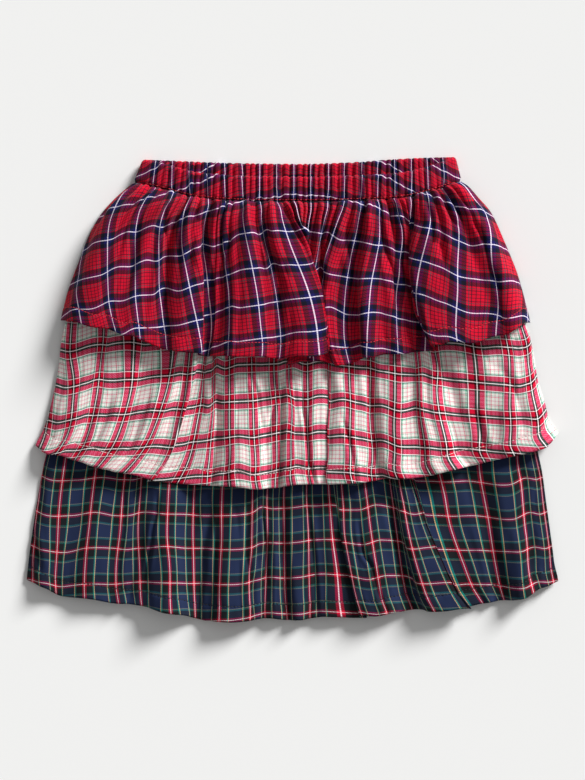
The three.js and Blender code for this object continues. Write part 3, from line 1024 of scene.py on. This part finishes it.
def middle_plaid(colours):
    """Cream with red bands and green, black and bright white lines, the same both ways."""
    cream = colours.middle_cream
    bright = (1.0, 0.99, 0.98)
    black = (0.03, 0.05, 0.05)
    bottle = (0.1, 0.3, 0.24)
    sage = (0.5, 0.6, 0.55)
    pink = (0.84, 0.36, 0.45)
    pale_pink = (0.86, 0.66, 0.69)
    stripes = [
        (0.32, bright, 3),
        (2.0, black, 0.68),
        (5.8, colours.middle_red, 0.5),
        (6.4, bright, 1.6),
        (7.0, bottle, 0.5),
        (8.0, colours.middle_green, 0.22),
        (9.6, cream, PLAIN),
        (10.1, sage, 0.18),
        (10.6, cream, PLAIN),
        (11.3, pink, PLAIN),
        (13.7, cream, PLAIN),
        (14.25, pale_pink, PLAIN),
    ]
    return stripes, stripes


def lower_plaid(colours):
    """Navy and black with red, green and tan lines, which show more along the cloth than across."""
    black = (0.1, 0.11, 0.12)
    red = (0.78, 0.06, 0.2)
    warp = [
        (0.24, (0.97, 0.84, 0.86), BOLD),
        (1.7, red, 0.42),
        (7, black, PLAIN),
        (8.1, colours.lower_green, 0.6),
        (8.55, (0.88, 0.7, 0.48), 1.1),
        (14.25, colours.lower_navy, PLAIN),
    ]
    weft = [
        (0.22, (0.97, 0.88, 0.88), 1.1),
        (1.6, red, 0.2),
        (7, black, PLAIN),
        (8.3, (0.12, 0.4, 0.38), PLAIN),
        (8.75, (0.58, 0.56, 0.44), 0.3),
        (14.25, colours.lower_navy, PLAIN),
    ]
    return warp, weft


PLAIDS = {"upper_plaid": upper_plaid, "middle_plaid": middle_plaid, "lower_plaid": lower_plaid}


def tier_material(slot):
    """The plaid of a tier, made once."""
    name = slot + "_cotton"
    made = bpy.data.materials.get(name)
    return made or plaid_material(name, *PLAIDS[slot](bpy.context.scene.skirt_colours))


def thread_material(name, colour):
    """Sewing thread: two plies twisted together."""
    material, tree = empty_material(name)
    place = add_node(tree, "ShaderNodeTexCoord", (-900, 0))
    ply = add_node(tree, "ShaderNodeTexNoise", (-700, 0), {"Scale": 1800.0})
    tone = add_node(tree, "ShaderNodeValToRGB", (-450, 0))
    tone.color_ramp.elements[0].color = paint([0.75 * c for c in colour])
    tone.color_ramp.elements[1].color = paint(colour)
    shader = add_node(tree, "ShaderNodeBsdfPrincipled", (-150, 0), {"Roughness": 0.6})
    out = add_node(tree, "ShaderNodeOutputMaterial", (150, 0))
    wire(tree, [
        (place, "Object", ply, "Vector"),
        (ply, "Fac", tone, "Fac"),
        (tone, "Color", shader, "Base Color"),
        (shader, "BSDF", out, "Surface"),
    ])
    return material


# Stitching
def stitch_line(name, path, normals, sideways, material):
    """A row of short threads along a path, each dipping into the cloth at its ends."""
    sizes = bpy.context.scene.skirt_sizes
    steps = np.linalg.norm(np.diff(path, axis=0), axis=1)
    run = np.concatenate([[0], np.cumsum(steps)])
    long = sizes.stitch / MM
    pitch = STITCH_PITCH * long
    starts = np.arange(pitch, run[-1] - pitch, pitch)
    rise = STITCH["rise"] * THREAD_RADIUS
    swell = STITCH["swell"] * THREAD_RADIUS
    turn = 2 * np.pi * np.arange(STITCH_SIDES) / STITCH_SIDES
    at = starts[:, None] + STITCH["place"][None, :] * long
    centre, up, side = (
        np.stack([np.interp(at, run, values[:, a]) for a in range(3)], -1)
        for values in (path, normals, sideways))
    centre = centre + up * rise[None, :, None]
    ring = (
        centre[:, :, None, :]
        + up[:, :, None, :] * (np.sin(turn) * swell[:, None])[None, :, :, None]
        + side[:, :, None, :] * (np.cos(turn) * swell[:, None])[None, :, :, None]
    )
    index = np.arange(ring[..., 0].size).reshape(ring.shape[:3])
    after = np.roll(index, -1, axis=2)
    walls = np.stack([index[:, :-1], after[:, :-1], after[:, 1:], index[:, 1:]], -1).reshape(-1, 4)
    faces = walls.tolist() + index[:, 0, ::-1].tolist() + index[:, -1].tolist()
    points = ring.reshape(-1, 3)
    return make_object(name, points, faces, np.zeros((len(points), 2)), material)


# Sewing
def settle(piece, slot, *nodes):
    """Hands a finished piece to the frame."""
    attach(piece, "root")
    if nodes:
        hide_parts(*nodes)


def down_rows(tier, spacing):
    """Levels down the cloth: coarse where a tier above hides it, and fine below."""
    depth = tier_size(tier)[1]
    coarse, visible = tier["row_step"]
    hidden = np.arange(0, visible, coarse)
    shown = np.linspace(visible, depth, int((depth - visible) / spacing) + 1)
    hem_line = depth - bpy.context.scene.skirt_sizes.hem / MM
    shown = shown[np.abs(shown - hem_line) > HEM_ROWS_REACH]
    return np.sort(np.concatenate([hidden, shown, hem_line + HEM_ROWS]))


def hem_thickness(tier, down):
    """The cloth is double where its hem is turned up."""
    sizes = bpy.context.scene.skirt_sizes
    depth = tier_size(tier)[1]
    turned = np.clip((down - depth + sizes.hem / MM + HEM_EDGE) / HEM_EDGE_RUN, 0, 1)
    return (sizes.cloth / MM * (1 + turned))[:, None]


def photo_place(pixels):
    """Where pixels of the photo lie on the skirt, to the nearest millimetre."""
    return np.round((np.array(pixels) - ORIGIN_PIXEL) * (MM_PER_PIXEL, -MM_PER_PIXEL))


def crease_valleys(tier, surface):
    """How far the charted creases press the cloth in, and how far it stands up beside them."""
    lift = np.zeros(surface.shape[:2])
    x, y = surface[..., 0], surface[..., 1]
    for depth, width, pixels in CREASES[tier["name"]]:
        points = photo_place(pixels)
        steps = np.hypot(*np.diff(points, axis=0).T)
        far = np.concatenate([[0], np.cumsum(steps)])
        along = np.arange(0, far[-1], CREASE_STEP)
        smooth = [follow(far, points[:, k])(along) for k in (0, 1)]
        near = np.full(x.shape, 1e9)
        place = np.zeros(x.shape)
        for px, py, s in zip(*smooth, along / far[-1]):
            distance = np.hypot(x - px, y - py)
            place = np.where(distance < near, s, place)
            near = np.minimum(near, distance)
        fade = np.clip(CREASE_FADE_IN * place, 0, 1) * np.clip(CREASE_FADE_OUT * (1 - place), 0, 1)
        beside = np.exp(-(((near - CREASE_BESIDE * width) / (CREASE_SPREAD * width)) ** 2))
        lift += fade * depth * (CREASE_RISE * beside - CREASE_PRESS * np.exp(-near / width))
    return lift


def held_down(tier, down):
    """How freely the cloth stands up: little at the seam, and where a tier above presses on it."""
    covered = tier["row_step"][1]
    if covered:
        return np.clip((down - covered + COVERED_RUN) / COVERED_RUN, COVERED_SHARE, 1)
    return 1 - SEAM_SHARE * np.exp(-((down / SEAM_RUN) ** 2))


def creases(tier, cloth, down, seed):
    """Small creases that the fold tables leave out: soft ridges that fan down, and crumple."""
    sizes = bpy.context.scene.skirt_sizes
    across = cloth[None, :]
    along = down[:, None]

    def waves(step, wide, long):
        return soft_noise(seed + step, across / wide, along / long + 0 * across)

    crumple = sum(height * waves(k, wide, long) for k, (wide, long, height) in enumerate(CRUMPLES))
    pucker = waves(len(CRUMPLES), *HEM_PUCKER_SIZE)
    *fold_size, fold_height = FOLDS
    fold_waves = waves(len(CRUMPLES) + 1, *fold_size)
    fold_line = np.maximum(0, 1 - np.abs(fold_waves) / FOLD_SHARE) ** 2
    past_stitches = along - tier_size(tier)[1] + sizes.hem / MM
    groove = np.exp(-((past_stitches / GROOVE_WIDTH) ** 2))
    near_hem = np.exp(-np.abs(past_stitches) / HEM_PUCKER_REACH)
    return (
        sizes.crumple / MM * (crumple - fold_height * fold_line)
        - GROOVE * groove
        + HEM_PUCKER * pucker * near_hem
    )


def front_lift(tier, surface, top_x, cloth, down, seed):
    """How far the front cloth stands up from its surface: gathers, charted creases and crumple."""
    lift = creases(tier, cloth, down, seed)
    gather = bpy.context.scene.skirt_sizes.gather / MM
    for share, merged, reach in GATHER_LEVELS[tier["name"]]:
        place = gather_place(top_x) / merged + MERGE_SHIFT * (merged - 1)
        lift = lift + share * gather * gather_height(place, down, reach)
        puff = np.exp(-((down / (reach * GATHER_REACH)) ** 1.5))[:, None]
        lift = lift + GATHER_PUFF * share * gather * puff
    lift = lift + crease_valleys(tier, surface)
    lowest = np.clip(DIP_SHARE * surface[..., 2], *DIP_LIMITS)
    lift = np.where(lift < 0, -lowest * np.tanh(-lift / lowest), lift)
    return lift * held_down(tier, down)[:, None]


def sew_front(tier, seed):
    """The front panel of a tier, with the stitches of its hem."""
    sizes = bpy.context.scene.skirt_sizes
    spacing = sizes.spacing / MM
    name = tier["name"]
    width, depth = tier_size(tier)
    cloth = np.linspace(0, width, int(width / spacing) + 1)
    down = down_rows(tier, spacing)
    surface, top_x = front_surface(tier, cloth, down)
    lift = front_lift(tier, surface, top_x, cloth, down, seed)
    places = plaid_place(tier, cloth[None, :], down[:, None])
    thickness = hem_thickness(tier, down)
    front, upper, normal = cloth_shell(
        name + "_front_cloth", surface, lift, thickness, places, tier_material(tier["slot"]))
    settle(front, tier["slot"], name + "_front")

    row = int(np.argmin(np.abs(down - depth + sizes.hem / MM)))
    path = upper[row]
    sideways = np.cross(normal[row], np.gradient(path, axis=0))
    sideways /= np.linalg.norm(sideways, axis=1, keepdims=True)
    thread = thread_material(name + "_thread", THREADS[name])
    stitches = stitch_line(name + "_hem_stitches", path, normal[row], sideways, thread)
    settle(stitches, tier["slot"])


def sew_back(tier):
    """The back panel of a tier, on a coarser mesh."""
    spacing = bpy.context.scene.skirt_sizes.spacing / MM
    name = tier["name"] + "_back"
    width, depth = tier_size(tier)
    cloth = np.linspace(0, width, int(width / (BACK_COLUMN * spacing)) + 1)
    down = np.linspace(0, depth, int(depth / (BACK_ROW * spacing)) + 1)
    surface, top_x = back_surface(tier, cloth, down)
    lift = BACK_GATHER * gather_height(gather_place(top_x), down, BACK_REACH)
    places = plaid_place(tier, cloth[None, :], down[:, None])
    thickness = BACK_CLOTH * hem_thickness(tier, down)
    back, *_ = cloth_shell(
        name + "_cloth", surface, lift, thickness, places, tier_material(tier["slot"]))
    settle(back, tier["slot"], name)


class SKIRT_OT_tiers(bpy.types.Operator):
    """Sew the front and back panels of the three tiers"""
    bl_idname = "skirt.tiers"
    bl_label = "Sew the tiers"

    def execute(self, context):
        for place, tier in enumerate(TIERS):
            sew_front(tier, 10 * place)
            sew_back(tier)
        return {"FINISHED"}


def casing_stations(front):
    """The casing's middle, the way it faces and how far it puckers, from the left fold to the right."""
    half = CASING_THICKNESS / 2
    split = SEAM_GAP / 2 / CASING_END_RADIUS
    side = 1 if front else -1
    angle = np.linspace(split, math.pi / 2, CASING_FOLD_STATIONS + 1)[:-1]
    out = CASING_END_RADIUS * (1 - np.cos(angle))
    fold_height = half + CASING_END_RADIUS
    turn_z = fold_height + side * CASING_END_RADIUS * np.sin(angle)
    ends = (CASING_LEFT + CASING_END_RADIUS, CASING_RIGHT - CASING_END_RADIUS)
    x = np.linspace(*ends, CASING_STATIONS)
    inside = np.minimum(x - x[0], x[-1] - x)
    arch = CASING_ARCH * (1 - np.exp(-inside / CASING_ARCH_RUN)) if front else 0 * x
    z = fold_height + side * CASING_END_RADIUS + arch
    xs = np.concatenate([CASING_LEFT + out, x, (CASING_RIGHT - out)[::-1]])
    zs = np.concatenate([turn_z, z, turn_z[::-1]])
    lean = np.stack([np.cos(angle), 0 * angle, np.sin(angle)], -1)
    left = lean * np.array([-side, 0, 1])
    right = (lean * np.array([side, 0, 1]))[::-1]
    faces = np.concatenate([left, np.tile([0.0, 0.0, 1.0], (len(x), 1)), right])
    fade = np.concatenate([0 * out, 1 - np.exp(-inside / CASING_HEIGHT), 0 * out])
    return xs, zs, faces, fade


def casing_profile():
    """The casing's section: round over the elastic at the top, and pinched at the stitches below."""
    turn = np.linspace(-math.pi / 2, 1.5 * math.pi, CASING_CORNERS + 1)[:-1]
    across = np.sign(np.sin(turn)) * np.abs(np.sin(turn)) ** 0.5
    edge = np.clip((1 - np.abs(across)) / CASING_SHOULDER, 0, 1)
    below = np.clip((across + 1) / CASING_PINCH_RUN, 0, 1)
    pinched = CASING_PINCH + (1 - CASING_PINCH) * below ** 0.8
    thick = np.where(across > 0, np.sqrt(1 - (1 - edge) ** 2), pinched)
    out = np.sign(np.cos(turn)) * thick * (np.abs(np.cos(turn)) > 1e-6)
    return across * CASING_HEIGHT / 2, out * CASING_THICKNESS / 2


def sew_casing(half):
    """The front or back half of the casing, puckered over the elastic."""
    front = half == "front"
    across, out = casing_profile()
    x, z, faces, fade = casing_stations(front)
    line = casing_front if front else casing_back
    up = casing_up(x)
    k = gather_place(x)
    gathers = gather_height(k, np.zeros(1))[0]
    rub = soft_noise(31 + front, k[:, None] * RUB_PACE, across[None, :] / RUB_HEIGHT)
    inside = BACK_PUCKER if front else 0.0
    pucker = CASING_PUCKER * (PUCKER_GATHER * gathers[:, None] + PUCKER_RUB * rub)
    pucker = pucker * (fade[:, None] * np.where(out[None, :] > 0, 1.0, inside))
    middle = np.stack([x, line(x), z], -1)
    rim = np.abs(2 * across / CASING_HEIGHT)[None, :] * fade[:, None] * gathers[:, None]
    height = across[None, :] + CASING_SCALLOP * np.sign(across)[None, :] * rim
    points = (
        middle[:, None, :]
        + up[:, None, :] * height[..., None]
        + faces[:, None, :] * (out[None, :] + pucker)[..., None]
    )

    girth = np.concatenate([[0], np.cumsum(np.hypot(np.diff(across), np.diff(out)))])
    cloth = np.clip(k / (2 * GATHERS), PLAID_INSET, 1 - PLAID_INSET)[:, None] * tier_size(UPPER_TIER)[0]
    shift = soft_noise(33, k[:, None] / SHIFT_GATHERS, girth[None, :] / SHIFT_GIRTH)
    along, down = PLAID_SHIFT
    places = plaid_place(UPPER_TIER, cloth + along * shift, down * shift - girth[None, :])
    index = np.arange(points[..., 0].size).reshape(points.shape[:2])
    after = np.roll(index, -1, axis=1)
    walls = np.stack([index[:-1], after[:-1], after[1:], index[1:]], -1).reshape(-1, 4)
    ends = [index[0, ::-1].tolist(), index[-1].tolist()]
    slot = UPPER_TIER["slot"]
    piece = make_object(
        f"casing_{half}_cloth", points.reshape(-1, 3), walls.tolist() + ends,
        places.reshape(-1, 2), tier_material(slot))
    settle(piece, slot, f"waistband_{half}")
    if front:
        thread = thread_material("casing_thread", THREADS[UPPER_TIER["name"]])
        level = int(np.argmin(np.abs(across - CASING_STITCHES) + 10 * (out <= 0)))
        sewn = slice(UNSTITCHED_STATIONS, -UNSTITCHED_STATIONS)
        stitches = stitch_line("casing_stitches", points[sewn, level], faces[sewn], up[sewn], thread)
        settle(stitches, slot)


class SKIRT_OT_casing(bpy.types.Operator):
    """Turn the cloth over the elastic and gather it into the casing"""
    bl_idname = "skirt.casing"
    bl_label = "Sew the casing"

    def execute(self, context):
        for half in ("front", "back"):
            sew_casing(half)
        return {"FINISHED"}


class SKIRT_OT_stage(bpy.types.Operator):
    """Lay the skirt on a pale surface under soft light, with the camera straight above"""
    bl_idname = "skirt.stage"
    bl_label = "Set the stage"

    def execute(self, context):
        scene = context.scene
        bpy.ops.mesh.primitive_plane_add(size=FLOOR_SIZE, location=(0, 0, -FLOOR_DEPTH))
        floor = context.object
        floor.name = "pale_surface"
        material = bpy.data.materials.new("pale_surface")
        material.use_nodes = True
        shader = material.node_tree.nodes["Principled BSDF"]
        shader.inputs["Roughness"].default_value = 0.9
        shader.inputs["Base Color"].default_value = paint(scene.skirt_colours.floor)
        floor.data.materials.append(material)

        world = bpy.data.worlds.new("studio")
        world.use_nodes = True
        sky = world.node_tree.nodes["Background"]
        sky.inputs["Color"].default_value = (1, 1, 1, 1)
        sky.inputs["Strength"].default_value = WORLD_LIGHT
        scene.world = world
        for name, way, spread, strength in LIGHTS:
            lamp = bpy.data.lights.new(name, "SUN")
            lamp.angle = math.radians(spread)
            lamp.energy = strength
            holder = bpy.data.objects.new(name, lamp)
            holder.location = Vector(way).normalized() * LAMP_DISTANCE
            holder.rotation_euler = Vector(way).to_track_quat("Z", "Y").to_euler()
            scene.collection.objects.link(holder)

        lens = bpy.data.cameras.new("camera")
        lens.sensor_fit = "VERTICAL"
        lens.sensor_height = SENSOR
        lens.lens = SENSOR * CAMERA_HEIGHT / (PHOTO_HEIGHT * MM_PER_PIXEL * MM)
        camera = bpy.data.objects.new("camera", lens)
        camera.location = (0, 0, CAMERA_HEIGHT + CAMERA_RISE)
        scene.collection.objects.link(camera)
        scene.camera = camera
        scene.view_settings.view_transform = "Standard"
        return {"FINISHED"}


class SKIRT_PT_panel(bpy.types.Panel):
    bl_idname = "SKIRT_PT_panel"
    bl_label = "Tiered ruffle skirt"
    bl_space_type = "VIEW_3D"
    bl_region_type = "UI"
    bl_category = "Skirt"

    def draw(self, context):
        for group in (context.scene.skirt_sizes, context.scene.skirt_colours):
            for name in group.__annotations__:
                self.layout.prop(group, name)
        for operator in OPERATORS:
            self.layout.operator(operator.bl_idname)


OPERATORS = (SKIRT_OT_casing, SKIRT_OT_tiers, SKIRT_OT_stage)
CLASSES = (SkirtSizes, SkirtColours, *OPERATORS, SKIRT_PT_panel)


def register():
    for item in CLASSES:
        bpy.utils.register_class(item)
    bpy.types.Scene.skirt_sizes = bpy.props.PointerProperty(type=SkirtSizes)
    bpy.types.Scene.skirt_colours = bpy.props.PointerProperty(type=SkirtColours)


def unregister():
    del bpy.types.Scene.skirt_colours
    del bpy.types.Scene.skirt_sizes
    for item in reversed(CLASSES):
        bpy.utils.unregister_class(item)


def declare_cloth():
    """Lists each panel's pieces with it: a front's hem stitches and, for the upper tier, its casing
    half. The lists are not used further.
    """
    for tier in TIERS:
        for half in ("front", "back"):
            with_pieces = [bpy.data.objects[tier["name"] + "_hem_stitches"]] if half == "front" else []
            if tier is UPPER_TIER:
                with_pieces.append(bpy.data.objects[f"casing_{half}_cloth"])


def main():
    register()
    bpy.ops.skirt.casing()
    bpy.ops.skirt.tiers()
    bpy.ops.skirt.stage()
    declare_cloth()


if __name__ == "__main__":
    main()
